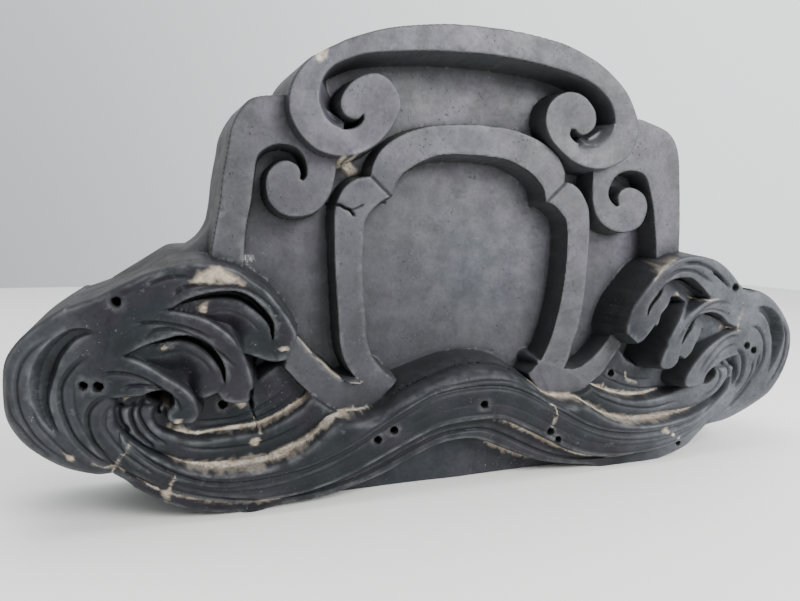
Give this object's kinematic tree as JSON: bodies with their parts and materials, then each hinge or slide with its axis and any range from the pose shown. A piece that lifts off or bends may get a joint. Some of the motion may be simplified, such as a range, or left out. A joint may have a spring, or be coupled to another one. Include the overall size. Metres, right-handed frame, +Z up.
{
  "type": "roof ridge-end ornament tile",
  "caption": "Smoked-clay ridge-end ornament with scroll bands, an arched frame round a plain panel, curling clouds and a wave, hollow at the back.",
  "frame": {"origin": "middle of the tile's bounding box on the plane of its underside", "axes": "+X across the tile, +Y from the carved front to the open back, +Z up"},
  "size_m": [0.524, 0.08, 0.2815],
  "materials": {
    "smoked_clay": "smoked fired clay, satin with a faint silver sheen"
  },
  "bodies": {
    "root": {"ridge_end_tile": "smoked_clay"}
  },
  "joints": []
}
